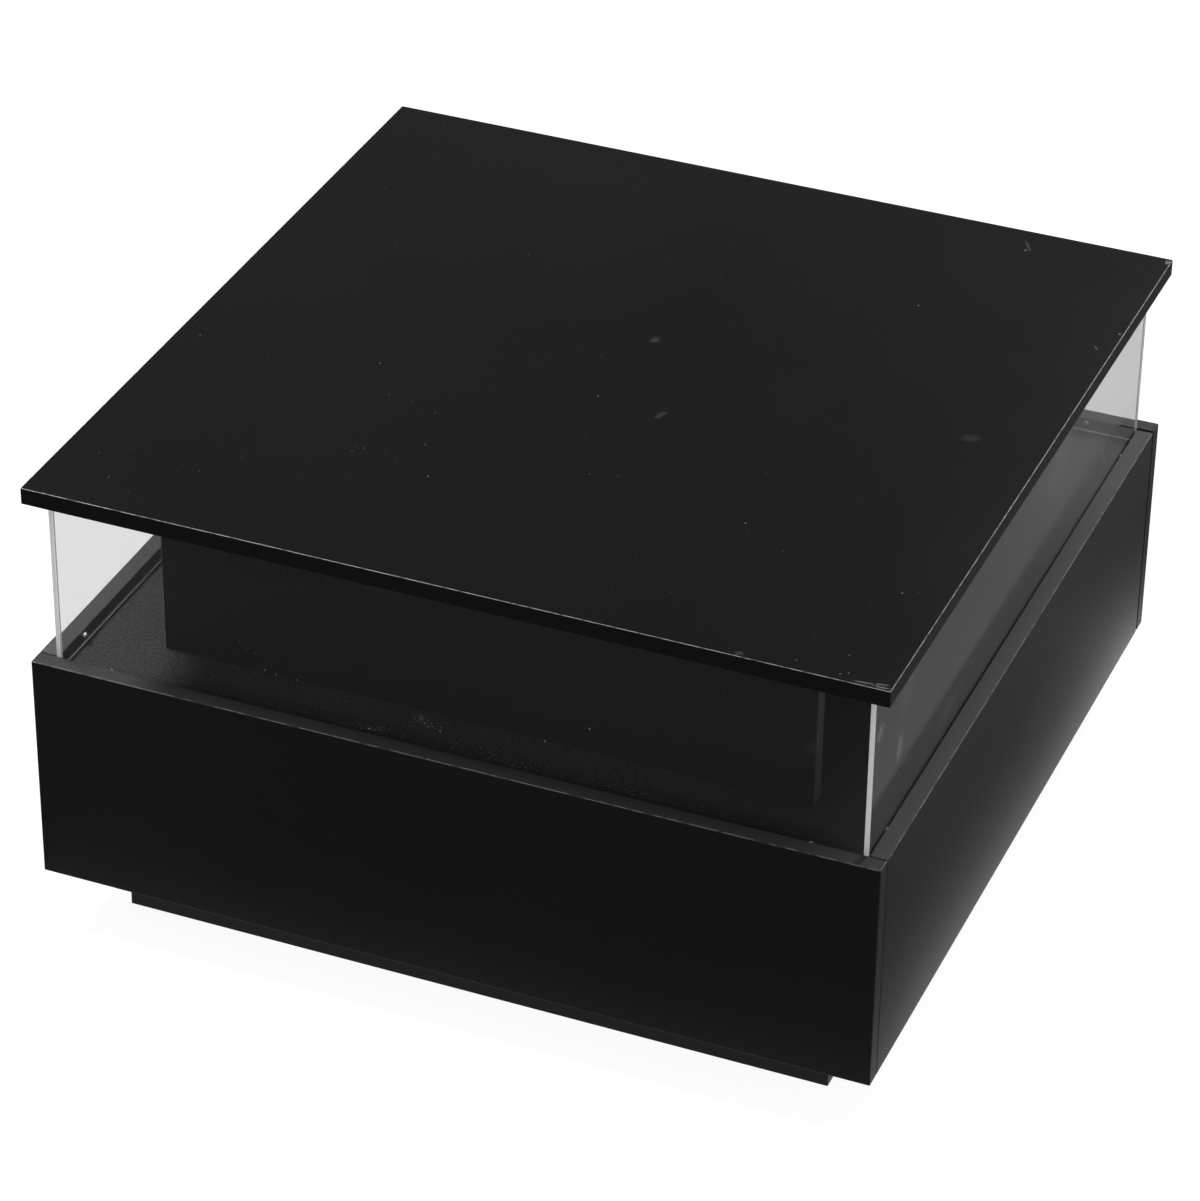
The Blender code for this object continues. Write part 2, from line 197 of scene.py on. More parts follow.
floor_mesh = bpy.data.meshes.new("studio_floor")
sheet = bmesh.new()
bmesh.ops.create_grid(sheet, x_segments=1, y_segments=1, size=FLOOR_REACH)
sheet.to_mesh(floor_mesh)
sheet.free()
floor_mesh.materials.append(floor_material)
studio_floor = bpy.data.objects.new("studio_floor", floor_mesh)
studio_floor.location.z = -FLOOR_DROP
bpy.context.scene.collection.objects.link(studio_floor)
studio_floor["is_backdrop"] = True


# Studio surroundings
# Plain white behind the table. The boards' gloss finds a dim room that is lighter near the horizon,
# and a soft fill lights everything else, a little stronger from the front, where no lamp stands.
FILL, FILL_FRONT = 0.384, 0.512
GLOSS_LOW, GLOSS_HIGH = 0.76, 0.0416
GLOSS_FRONT = 0.35
HORIZON, OVERHEAD = math.sin(math.radians(6)), math.sin(math.radians(27))
FRONT_TO_REST = (-0.9, 0.2)

world = bpy.data.worlds.new("studio")
bpy.context.scene.world = world
world.use_nodes = True
air = world.node_tree
air.nodes.clear()
air_ray = air.nodes.new("ShaderNodeLightPath")
air_way = air.nodes.new("ShaderNodeSeparateXYZ")
air.links.new(air.nodes.new("ShaderNodeTexCoord").outputs["Generated"], air_way.inputs[0])
by_height = graded(air, air_way.outputs["Z"], HORIZON, OVERHEAD, GLOSS_LOW, GLOSS_HIGH)
by_side = graded(air, air_way.outputs["Y"], *FRONT_TO_REST, GLOSS_FRONT, 1.0)


def blended(tree, share, first, second):
    """A number between first and second."""
    node = tree.nodes.new("ShaderNodeMix")
    for name, value in (("Factor", share), ("A", first), ("B", second)):
        feed(tree, node.inputs[name], value)
    return node.outputs["Result"]


fill = graded(air, air_way.outputs["Y"], *FRONT_TO_REST, FILL_FRONT, FILL)
room = blended(air, air_ray.outputs["Is Glossy Ray"], fill, figure(air, "MULTIPLY", by_height, by_side))
backdrop = air.nodes.new("ShaderNodeBackground")
backdrop.inputs["Color"].default_value = (1.0, 1.0, 1.0, 1.0)
feed(air, backdrop.inputs["Strength"], blended(air, seen_directly(air, air_ray), room, 1.0))
air.links.new(backdrop.outputs[0], air.nodes.new("ShaderNodeOutputWorld").inputs["Surface"])


# Studio lamps
# A square softbox behind and to the right, and a low wide one to the left. The front gets no lamp
# of its own, which leaves it the darkest side, as in the photograph.
SOFTBOXES = (
    ("softbox_back", (0.8, 2.4, 2.3), 1.2, 1.2, 52.0),
    ("softbox_left", (-1.25, -0.24, 1.76), 0.70, 0.25, 31.5),
)
SOFTBOX_AIM = Vector((0.0, 0.0, 0.3))

for name, place, width, height, power in SOFTBOXES:
    lamp = bpy.data.lights.new(name, "AREA")
    lamp.shape = "RECTANGLE"
    lamp.size = width
    lamp.size_y = height
    lamp.energy = power
    softbox = bpy.data.objects.new(name, lamp)
    softbox.location = place
    softbox.rotation_euler = (SOFTBOX_AIM - Vector(place)).to_track_quat("-Z", "Y").to_euler()
    softbox.visible_camera = False
    softbox.visible_transmission = False
    bpy.context.scene.collection.objects.link(softbox)


# Plinth
# Four 16 mm chipboards with black melamine on both faces, cut narrow and glued into a low box that
# stands back under the base. Edges that show have a 1 mm plastic band, trimmed to a small round.
BAND = 0.001
ARRIS = 0.0004
ARRIS_SEGMENTS = 3
SHARP_CORNER = 0.5
FACE, EDGE, END, RUBBED, RAW = range(5)
OUTWARD = {
    sign + axis: Vector([(1.0 if sign == "+" else -1.0) * (axis == other) for other in "xyz"])
    for axis in "xyz" for sign in "+-"
}


def link_piece(name, mesh, body, node):
    """Puts a finished mesh in the scene, on its body, in place of the solid that it stands for."""
    piece = bpy.data.objects.new(name, mesh)
    bpy.context.scene.collection.objects.link(piece)
    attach(piece, body)
    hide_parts(node)
    return piece


def block(low, high):
    """A bmesh box between two corners."""
    box = bmesh.new()
    bmesh.ops.create_cube(box, size=1.0)
    bmesh.ops.scale(box, vec=high - low, verts=box.verts)
    bmesh.ops.translate(box, vec=(low + high) / 2, verts=box.verts)
    return box


def as_mesh(shape, name, materials):
    """Turns a bmesh into a mesh with its materials."""
    mesh = bpy.data.meshes.new(name)
    shape.to_mesh(mesh)
    shape.free()
    for material in materials:
        mesh.materials.append(material)
    return mesh


def faced_board(node, body, banded, finish, rubbed=""):
    """A board in the node's place. banded names the sides that carry an edge band, such as +x, and
    rubbed the worn arrises, each by the two sides that meet there, such as +z-y."""
    low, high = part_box(node)
    spans = list(high - low)
    thin, long = spans.index(min(spans)), spans.index(max(spans))
    reach = {side: max(way.dot(low), way.dot(high)) for side, way in OUTWARD.items()}
    board = block(low, high)
    for side in banded.split():
        every_part = board.verts[:] + board.edges[:] + board.faces[:]
        joint, way = OUTWARD[side] * (reach[side] - BAND), OUTWARD[side]
        bmesh.ops.bisect_plane(board, geom=every_part, plane_co=joint, plane_no=way)
    corners = [edge for edge in board.edges if edge.calc_face_angle(0.0) > SHARP_CORNER]
    bmesh.ops.bevel(
        board, geom=corners, offset=ARRIS, segments=ARRIS_SEGMENTS, profile=0.5,
        affect="EDGES", material=RUBBED, clamp_overlap=True,
    )
    for face in board.faces:
        middle = face.calc_center_median()
        height = {side: middle.dot(way) - reach[side] for side, way in OUTWARD.items()}
        worn = any(max(-height[pair[:2]], -height[pair[2:]]) < ARRIS for pair in rubbed.split())
        in_band = [side for side in banded.split() if height[side] > -BAND]
        rounded = face.material_index == RUBBED
        if in_band:
            face.material_index = END if in_band[0][1] == "xyz"[long] else EDGE
        else:
            face.material_index = FACE if rounded or abs(face.normal[thin]) > 0.5 else RAW
        if rounded and worn:
            face.material_index = RUBBED
    mesh = as_mesh(board, node + "_faced", finish)
    mesh.shade_smooth()
    piece = link_piece(node + "_faced", mesh, body, node)
    piece.modifiers.new("flat_faces", "WEIGHTED_NORMAL").keep_sharp = True
    return piece


def shader_group(name, inputs, outputs):
    """An empty node group with named sockets, and the sockets inside it."""
    group = bpy.data.node_groups.new(name, "ShaderNodeTree")
    for socket, value in inputs.items():
        kind = "NodeSocketVector" if isinstance(value, tuple) else "NodeSocketFloat"
        group.interface.new_socket(name=socket, in_out="INPUT", socket_type=kind).default_value = value
    for socket in outputs:
        kind = "NodeSocketColor" if socket == "Colour" else "NodeSocketFloat"
        group.interface.new_socket(name=socket, in_out="OUTPUT", socket_type=kind)
    return group, group.nodes.new("NodeGroupInput").outputs, group.nodes.new("NodeGroupOutput").inputs


def place_group(tree, group, **values):
    """Uses a node group in a material, with its own values."""
    used = tree.nodes.new("ShaderNodeGroup")
    used.node_tree = group
    for socket, value in values.items():
        feed(tree, used.inputs[socket], value)
    return used.outputs


def noise(tree, place, scale, detail, rough):
    """Plain noise over a place, from 0 to 1."""
    node = tree.nodes.new("ShaderNodeTexNoise")
    for name, value in (("Vector", place), ("Scale", scale), ("Detail", detail), ("Roughness", rough)):
        feed(tree, node.inputs[name], value)
    return node.outputs["Fac"]


def object_place(tree):
    """The point on the surface, in metres on the table's own axes."""
    return tree.nodes.new("ShaderNodeTexCoord").outputs["Object"]


def around(tree, value, middle, spread):
    """Middle plus the spread times how far a 0 to 1 value lies from a half."""
    return figure(tree, "MULTIPLY_ADD", figure(tree, "SUBTRACT", value, 0.5), spread, middle)


def pearl_group():
    """The fine pearl of pressed melamine, as a height, and a tone and gloss that drift a little."""
    group, given, result = shader_group(
        "pearl", {"Grain": 900.0, "Contrast": 0.3, "Gloss": 0.3, "Drift": 0.05},
        ("Height", "Tone", "Roughness"),
    )
    grain = noise(group, object_place(group), given["Grain"], 1.5, 0.6)
    clouds = noise(group, object_place(group), 4.0, 3.0, 0.6)
    feed(group, result["Height"], grain)
    speckle, cloudy = around(group, grain, 1.0, given["Contrast"]), around(group, clouds, 1.0, 0.25)
    feed(group, result["Tone"], figure(group, "MULTIPLY", speckle, cloudy))
    feed(group, result["Roughness"], around(group, clouds, given["Gloss"], given["Drift"]))
    return group


def wear_group():
    """Where an arris is rubbed pale: 1 at rubbed spots, in short runs along the edge."""
    group, given, result = shader_group("wear", {"Run": 60.0, "Share": 0.5}, ("Mask",))
    runs = noise(group, object_place(group), given["Run"], 4.0, 0.75)
    limit = figure(group, "MULTIPLY_ADD", given["Share"], -0.4, 0.7)
    feed(group, result["Mask"], graded(group, figure(group, "SUBTRACT", runs, limit), -0.05, 0.05, 0.0, 1.0))
    return group


PEARL, WEAR = pearl_group(), wear_group()


def tinted(tree, tone, colour):
    """A colour made darker or lighter by a tone near 1."""
    grey = tree.nodes.new("ShaderNodeCombineColor")
    for socket in grey.inputs[:3]:
        feed(tree, socket, tone)
    node = tree.nodes.new("ShaderNodeMix")
    node.data_type, node.blend_type = "RGBA", "MULTIPLY"
    for name, value in (("Factor", 1.0), ("A", (*colour, 1.0)), ("B", grey.outputs["Color"])):
        feed(tree, node.inputs[name], value)
    return node.outputs["Result"]


def cover(material, share, colour):
    """Lays another colour over a material's own, where share is high."""
    tree = material.node_tree
    own = tree.nodes["Principled BSDF"].inputs["Base Color"]
    node = tree.nodes.new("ShaderNodeMix")
    node.data_type = "RGBA"
    for name, value in (("Factor", share), ("A", own.links[0].from_socket), ("B", (*colour, 1.0))):
        feed(tree, node.inputs[name], value)
    tree.links.new(node.outputs["Result"], own)


def raise_surface(tree, height, distance):
    """Feeds a height to the surface's normal."""
    bump = tree.nodes.new("ShaderNodeBump")
    bump.inputs["Distance"].default_value = distance
    tree.links.new(height, bump.inputs["Height"])
    tree.links.new(bump.outputs["Normal"], tree.nodes["Principled BSDF"].inputs["Normal"])


def material_with(name, **plain):
    """A material, its node tree and its Principled BSDF, with plain values set on the shader."""
    material = bpy.data.materials.new(name)
    material.use_nodes = True
    surface = material.node_tree.nodes["Principled BSDF"]
    for socket, value in plain.items():
        surface.inputs[socket.replace("_", " ")].default_value = value
    return material, material.node_tree, surface


def melamine(name, colour, roughness, specular, grain=1100.0, contrast=0.5, depth=0.000004):
    """Pressed melamine facing, or the plastic of an edge band: satin, with a fine pearl."""
    material, tree, surface = material_with(name, Specular_IOR_Level=specular)
    pearl = place_group(tree, PEARL, Grain=grain, Contrast=contrast, Gloss=roughness)
    tree.links.new(tinted(tree, pearl["Tone"], colour), surface.inputs["Base Color"])
    tree.links.new(pearl["Roughness"], surface.inputs["Roughness"])
    raise_surface(tree, pearl["Height"], depth)
    return material


def worn_arris(name, colour, rubbed, share, run=60.0):
    """The rounded edge of a band: dark, and rubbed pale in short runs."""
    material = melamine(name, colour, 0.45, 0.5, 600.0)
    wear = place_group(material.node_tree, WEAR, Run=run, Share=share)
    cover(material, wear["Mask"], rubbed)
    return material


def ramp(tree, value, first, second, start=0.0):
    """A colour between two, by a value from start to 1."""
    shades = tree.nodes.new("ShaderNodeValToRGB")
    shades.color_ramp.elements[0].color = (*first, 1.0)
    shades.color_ramp.elements[1].color = (*second, 1.0)
    shades.color_ramp.elements[0].position = start
    tree.links.new(value, shades.inputs["Fac"])
    return shades.outputs["Color"]


def chipboard():
    """Raw chipboard where an edge has no band: pressed flakes of pale wood."""
    material, tree, surface = material_with("raw_chipboard", Roughness=0.85)
    flakes = tree.nodes.new("ShaderNodeTexVoronoi")
    flakes.inputs["Scale"].default_value = 380.0
    tree.links.new(object_place(tree), flakes.inputs["Vector"])
    chance = tree.nodes.new("ShaderNodeSeparateColor")
    tree.links.new(flakes.outputs["Color"], chance.inputs["Color"])
    shades = ramp(tree, chance.outputs["Red"], (0.26, 0.15, 0.07), (0.58, 0.41, 0.23))
    tree.links.new(shades, surface.inputs["Base Color"])
    raise_surface(tree, flakes.outputs["Distance"], 0.0003)
    return material


def pine_group():
    """Planed pine: growth rings about the grain, which Turn swings from Z to the piece's own axis."""
    group, given, result = shader_group("pine_grain", {"Turn": (0.0, 0.0, 0.0)}, ("Colour", "Height"))
    turned = group.nodes.new("ShaderNodeVectorRotate")
    turned.rotation_type = "EULER_XYZ"
    stretch = group.nodes.new("ShaderNodeMapping")
    stretch.inputs["Scale"].default_value = (1.0, 1.0, 0.06)
    rings = group.nodes.new("ShaderNodeTexWave")
    rings.wave_type, rings.rings_direction = "RINGS", "Z"
    for name, value in (("Scale", 90.0), ("Distortion", 2.5), ("Detail", 2.0), ("Detail Scale", 0.6)):
        rings.inputs[name].default_value = value
    group.links.new(object_place(group), turned.inputs["Vector"])
    group.links.new(given["Turn"], turned.inputs["Rotation"])
    group.links.new(turned.outputs[0], stretch.inputs["Vector"])
    group.links.new(stretch.outputs["Vector"], rings.inputs["Vector"])
    shades = ramp(group, rings.outputs["Fac"], (0.70, 0.50, 0.28), (0.47, 0.27, 0.11), 0.35)
    group.links.new(shades, result["Colour"])
    group.links.new(rings.outputs["Fac"], result["Height"])
    return group


def pine(along, turn):
    """Planed pine with its grain along one axis."""
    material, tree, surface = material_with("pine_along_" + along, Roughness=0.62)
    grain = place_group(tree, PINE_GRAIN, Turn=turn)
    tree.links.new(grain["Colour"], surface.inputs["Base Color"])
    raise_surface(tree, grain["Height"], 0.00006)
    return material


PINE_GRAIN = pine_group()
PINE = (pine("x", (0, math.pi / 2, 0)), pine("y", (math.pi / 2, 0, 0)), pine("z", (0, 0, 0)))


def planed_pine(*nodes):
    """Gives packed pine solids their finish, with the grain along each piece."""
    for node in nodes:
        low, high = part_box(node)
        spans = list(high - low)
        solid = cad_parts[node]
        solid.data.materials.clear()
        solid.data.materials.append(PINE[spans.index(max(spans))])


board_face = melamine("board_face", (0.0120, 0.0120, 0.0124), 0.25, 0.32)
front_band = melamine("front_band", (0.040, 0.040, 0.041), 0.60, 0.3, 800.0)
end_band = melamine("end_band", (0.020, 0.020, 0.0205), 0.30, 0.32)
band_arris = worn_arris("band_arris", (0.032, 0.032, 0.033), (0.26, 0.26, 0.26), 0.55)
RAW_EDGE = chipboard()
FRONT_FINISH = (board_face, front_band, end_band, band_arris, RAW_EDGE)
ENDS, SIDES = ("front", "back"), ("left", "right")
FACING = {"front": "-y", "back": "+y", "left": "-x", "right": "+x"}
CORNERS = [f"{end}_{side}" for end in ENDS for side in SIDES]

for end in ENDS:
    faced_board("plinth_" + end, "table", "+x -x", FRONT_FINISH)
for side in SIDES:
    faced_board("plinth_" + side, "table", "", FRONT_FINISH)
planed_pine(*["plinth_block_" + corner for corner in CORNERS])


# Base box
# Four boards of the same kind. The front and back lap over the ends of the sides, glued to pine
# corner blocks, and a bottom panel closes the box. The sides' band is a lighter grey, painted light
# for their brighter rims.
side_face = melamine("side_face", (0.0110, 0.0110, 0.0114), 0.25, 0.265, 1400.0, 3.0)
# Painted light: a lighter copy of the edge band, so that the side rims look more brightly lit.
lit_side_band = melamine("lit_side_band", (0.076, 0.076, 0.078), 0.60, 0.3, 800.0)
SIDE_FINISH = (side_face, lit_side_band, end_band, band_arris, RAW_EDGE)

for end in ENDS:
    faced_board("base_" + end, "table", "+x -x +z -z", FRONT_FINISH, "+z" + FACING[end])
for side in SIDES:
    # Painted shade: the sides' ends, which show only in the dark seams, get the black end band.
    faced_board("base_" + side, "table", "+y -y +z -z", SIDE_FINISH, "+z" + FACING[side])
faced_board("bottom_panel", "table", "", FRONT_FINISH)
planed_pine(*["base_block_" + corner for corner in CORNERS])


# Display floor
# A faced board with a dull, finely textured surface. It lies 13 mm below the rim on pine cleats
# glued round the box and on two bearers, so it needs no fixing. Its right end has a darker colour,
# painted shade of the right bay.
RIGHT_END_SHADE_COLOUR = (0.014, 0.014, 0.0143)
SHADED_RIGHT_END = ((0.58, 0.0, 0.50, 1.50, 0, 0.1, 1.0),)


def plane_place(tree, axes):
    """A flat place on a surface: two of the object's axes, as X and Y."""
    apart = tree.nodes.new("ShaderNodeSeparateXYZ")
    flat = tree.nodes.new("ShaderNodeCombineXYZ")
    tree.links.new(object_place(tree), apart.inputs[0])
    for socket, axis in zip(flat.inputs, axes):
        tree.links.new(apart.outputs[axis.upper()], socket)
    return flat.outputs[0]


def mark_group():
    """One mark on a flat place: 1 at Centre, out to half lengths Long and Wide, turned by Turn."""
    group, given, result = shader_group(
        "mark", {"Place": (0.0, 0.0, 0.0), "Centre": (0.0, 0.0, 0.0), "Long": 0.01, "Wide": 0.01,
                 "Turn": 0.0, "Ragged": 0.5, "Strength": 1.0}, ("Mask",),
    )
    offset = group.nodes.new("ShaderNodeVectorMath")
    offset.operation = "SUBTRACT"
    turned = group.nodes.new("ShaderNodeVectorRotate")
    turned.rotation_type = "Z_AXIS"
    apart = group.nodes.new("ShaderNodeSeparateXYZ")
    group.links.new(given["Place"], offset.inputs[0])
    group.links.new(given["Centre"], offset.inputs[1])
    group.links.new(offset.outputs[0], turned.inputs["Vector"])
    group.links.new(figure(group, "MULTIPLY", given["Turn"], -1.0), turned.inputs["Angle"])
    group.links.new(turned.outputs[0], apart.inputs[0])
    along = figure(group, "POWER", figure(group, "DIVIDE", apart.outputs["X"], given["Long"]), 2.0)
    across = figure(group, "POWER", figure(group, "DIVIDE", apart.outputs["Y"], given["Wide"]), 2.0)
    reach = figure(group, "SQRT", figure(group, "ADD", along, across))
    broken = around(group, noise(group, given["Place"], 420.0, 3.0, 0.7), reach, given["Ragged"])
    feed(group, result["Mask"], graded(group, broken, 1.0, 0.5, 0.0, given["Strength"]))
    return group


MARK = mark_group()


def marked(tree, place, marks):
    """The strongest of some marks. Each gives its centre, half length and width, turn in degrees,
    how ragged it is, and its strength."""
    total = 0.0
    for x, y, long, wide, turn, ragged, strength in marks:
        one = place_group(tree, MARK, Place=place, Centre=(x, y, 0.0), Long=long, Wide=wide,
                          Turn=math.radians(turn), Ragged=ragged, Strength=strength)
        total = figure(tree, "MAXIMUM", total, one["Mask"])
    return total


floor_face = melamine("display_floor_face", (0.030, 0.030, 0.0305), 0.42, 0.3, 400.0, 4.6, 0.00004)
floor_tree = floor_face.node_tree
# Painted shade: the right end of the display floor gets a darker colour.
cover(floor_face, marked(floor_tree, plane_place(floor_tree, "xy"), SHADED_RIGHT_END), RIGHT_END_SHADE_COLOUR)
FLOOR_FINISH = (floor_face, floor_face, floor_face, floor_face, RAW_EDGE)

faced_board("display_floor", "table", "", FLOOR_FINISH)
for end in ENDS:
    faced_board("floor_bearer_" + end, "table", "", FRONT_FINISH)
planed_pine(*["floor_cleat_" + side for side in ENDS + SIDES])


# Core
# Two faced boards with a spine between them stand on the display floor and carry the top board.
# Dowels join them to the floor and to each other. Their ends and upper edges are banded.
core_face = melamine("core_face", (0.0095, 0.0095, 0.0098), 0.40, 0.3)
core_edge = melamine("core_edge", (0.045, 0.045, 0.047), 0.52, 0.5, 800.0)
CORE_FINISH = (core_face, core_edge, core_edge, band_arris, RAW_EDGE)

faced_board("core_front", "table", "+x -x +z", CORE_FINISH, "-x-y")
faced_board("core_back", "table", "+x -x +z", CORE_FINISH)
faced_board("core_spine", "table", "+z", CORE_FINISH)
planed_pine(*["core_dowel_" + corner for corner in CORNERS])
planed_pine(*["spine_dowel_" + end for end in ENDS])
planed_pine(*[f"spine_end_dowel_{end}_{level}" for end in ENDS for level in ("low", "high")])


# Clear panels
# Cast acrylic, 4 mm thick, with polished faces. The edges are left as sawn, so they look frosted
# and pale. Each panel is drilled near its foot for two screws, and has dust on its outer face.
ACRYLIC_TINT = (0.955, 0.958, 0.964)
ACRYLIC_INDEX = 1.49
HAZE = 0.006
DUST_PAINTED_GLOW = (0.12, 0.12, 0.12)
DUST_ROUGHNESS, DUST_INDEX = 0.9, 3.0
LIGHT_PASSED = (0.96, 0.96, 0.96, 1.0)
EDGE_PAINTED_GLOW = 0.05
PANEL_ARRIS = 0.0003
SCREW_HOLE_RADIUS = 0.0022
DRILL_LENGTH = 0.02
DRILL_SIDES = 32
CLEAR, SAWN, OUTSIDE = range(3)


def dust_group():
    """Settled dust: fine uneven specks in loose clumps over Place, more of them as Share grows."""
    group, given, result = shader_group(
        "dust", {"Place": (0.0, 0.0, 0.0), "Grain": 700.0, "Share": 0.0}, ("Mask",)
    )
    specks = noise(group, given["Place"], given["Grain"], 2.0, 0.6)
    clumps = noise(group, given["Place"], 30.0, 3.0, 0.7)
    level = figure(group, "MULTIPLY_ADD", given["Share"], 0.3, around(group, clumps, specks, 0.3))
    feed(group, result["Mask"], graded(group, level, 0.76, 0.92, 0.0, 1.0))
    return group


DUST = dust_group()


def pass_light(material):
    """Lamps and soft light pass the clear sheet, so that what stands behind it is lit."""
    tree = material.node_tree
    ray = tree.nodes.new("ShaderNodeLightPath")
    soft = figure(tree, "MAXIMUM", ray.outputs["Is Shadow Ray"], ray.outputs["Is Diffuse Ray"])
    passing = tree.nodes.new("ShaderNodeBsdfTransparent")
    passing.inputs["Color"].default_value = LIGHT_PASSED
    choice = mixed(tree, soft, tree.nodes["Principled BSDF"], passing)
    tree.links.new(choice.outputs[0], tree.nodes["Material Output"].inputs["Surface"])


def clear_acrylic(name, axes="", marks=(), smears=()):
    """Polished acrylic. Marks are dust and smears grease, both duller than the clean face, and both glow
    faintly: a painted glow for the light they catch.
    """
    material, tree, surface = material_with(
        name, Base_Color=(*ACRYLIC_TINT, 1.0), Transmission_Weight=1.0 - HAZE, IOR=ACRYLIC_INDEX,
        Roughness=0.0,
    )
    pass_light(material)
    if axes:
        place = plane_place(tree, axes)
        dust = place_group(tree, DUST, Place=place, Share=marked(tree, place, marks))["Mask"]
        dust_film_and_glow = figure(tree, "MAXIMUM", dust, marked(tree, place, smears))
        feed(tree, surface.inputs["Roughness"], dust_film_and_glow)
        feed(tree, surface.inputs["Coat Weight"], dust_film_and_glow)
        surface.inputs["Coat Roughness"].default_value = DUST_ROUGHNESS
        surface.inputs["Coat IOR"].default_value = DUST_INDEX
        # Painted light: dust and smears glow faintly by an emission.
        tree.links.new(tinted(tree, dust_film_and_glow, DUST_PAINTED_GLOW), surface.inputs["Emission Color"])
        surface.inputs["Emission Strength"].default_value = 1.0
    return material


def sawn_acrylic():
    """The sawn edge: white, with fine saw lines, and a faint emission: a painted glow for the light its
    sheet carries to it.
    """
    material, tree, surface = material_with("sawn_acrylic_edge", Roughness=0.5)
    saw_lines = noise(tree, object_place(tree), 500.0, 3.0, 0.6)
    tone = graded(tree, saw_lines, 0.2, 0.8, 0.85, 1.0, False)
    tree.links.new(tinted(tree, tone, (0.97, 0.97, 0.97)), surface.inputs["Base Color"])
    raise_surface(tree, saw_lines, 0.00005)
    # Painted light: a faint emission makes the sawn edge glow.
    surface.inputs["Emission Color"].default_value = (1.0, 1.0, 1.0, 1.0)
    surface.inputs["Emission Strength"].default_value = EDGE_PAINTED_GLOW
    return material


def in_fixed_order(mesh):
    """Sorts the points and faces of a cut mesh, because the cut leaves their order to chance."""
    ordered = sorted(mesh.vertices, key=lambda point: tuple(point.co))
    rank = {point.index: place for place, point in enumerate(ordered)}
    faces = []
    for face in mesh.polygons:
        loop = [rank[index] for index in face.vertices]
        first = loop.index(min(loop))
        faces.append((loop[first:] + loop[:first], face.material_index))
    faces.sort()
    settled = bpy.data.meshes.new(mesh.name)
    settled.from_pydata([tuple(point.co) for point in ordered], [], [loop for loop, _ in faces])
    for material in mesh.materials:
        settled.materials.append(material)
    settled.polygons.foreach_set("material_index", [index for _, index in faces])
    bpy.data.meshes.remove(mesh)
    return settled


def cut_away(stock, cutter):
    """Cuts one closed mesh out of another. The cut faces get the second material of the stock."""
    for material in stock.materials:
        cutter.materials.append(material)
    for face in cutter.polygons:
        face.material_index = 1
    whole, tool = (bpy.data.objects.new(mesh.name, mesh) for mesh in (stock, cutter))
    for thing in (whole, tool):
        bpy.context.scene.collection.objects.link(thing)
    cut = whole.modifiers.new("cut", "BOOLEAN")
    cut.operation, cut.object = "DIFFERENCE", tool
    result = bpy.data.meshes.new_from_object(whole.evaluated_get(bpy.context.evaluated_depsgraph_get()))
    for thing in (whole, tool):
        bpy.data.objects.remove(thing)
    for mesh in (stock, cutter):
        bpy.data.meshes.remove(mesh)
    return in_fixed_order(result)


CLEAN = clear_acrylic("clean_acrylic")
SAWN_EDGE = sawn_acrylic()
PANELS = {
    "left": ("yz", "front back", (), ()),
    "right": ("yz", "front back", (), (
        (-0.368, 0.403, 0.011, 0.010, 20, 2.2, 0.34), (-0.314, 0.354, 0.019, 0.009, 80, 1.4, 0.30),
        (0.267, 0.322, 0.032, 0.002, -56, 1.0, 0.18), (0.120, 0.395, 0.040, 0.022, 15, 1.8, 0.08),
        (-0.290, 0.415, 0.050, 0.016, 50, 3.0, 0.08), (-0.180, 0.312, 0.040, 0.008, 10, 3.0, 0.05),
    )),
    "front": ("xz", "left right", (
        (0.075, 0.295, 0.200, 0.008, 0, 1.1, 0.42), (-0.194, 0.344, 0.010, 0.020, 60, 0.9, 0.4),
        (0.338, 0.373, 0.026, 0.030, 30, 1.2, 0.25), (-0.070, 0.294, 0.045, 0.006, 0, 1.2, 0.48),
        (-0.025, 0.314, 0.024, 0.009, 0, 1.2, 0.42), (-0.100, 0.318, 0.024, 0.007, 0, 1.4, 0.40),
    ), (
        (-0.177, 0.327, 0.0009, 0.0009, 0, 0.2, 0.70), (-0.166, 0.326, 0.0008, 0.0008, 0, 0.2, 0.50),
        (-0.146, 0.325, 0.0008, 0.0008, 0, 0.2, 0.50), (-0.078, 0.2925, 0.0011, 0.0010, 0, 0.2, 0.60),
        (-0.028, 0.317, 0.004, 0.004, 0, 1.4, 0.10), (0.330, 0.385, 0.012, 0.006, 50, 1.6, 0.03),
        (0.088, 0.324, 0.001, 0.001, 0, 0.2, 0.70), (0.129, 0.348, 0.0009, 0.0009, 0, 0.2, 0.70),
        (-0.010, 0.308, 0.0009, 0.0009, 0, 0.2, 0.70),
    )),
    "back": ("xz", "left right", (), ()),
}
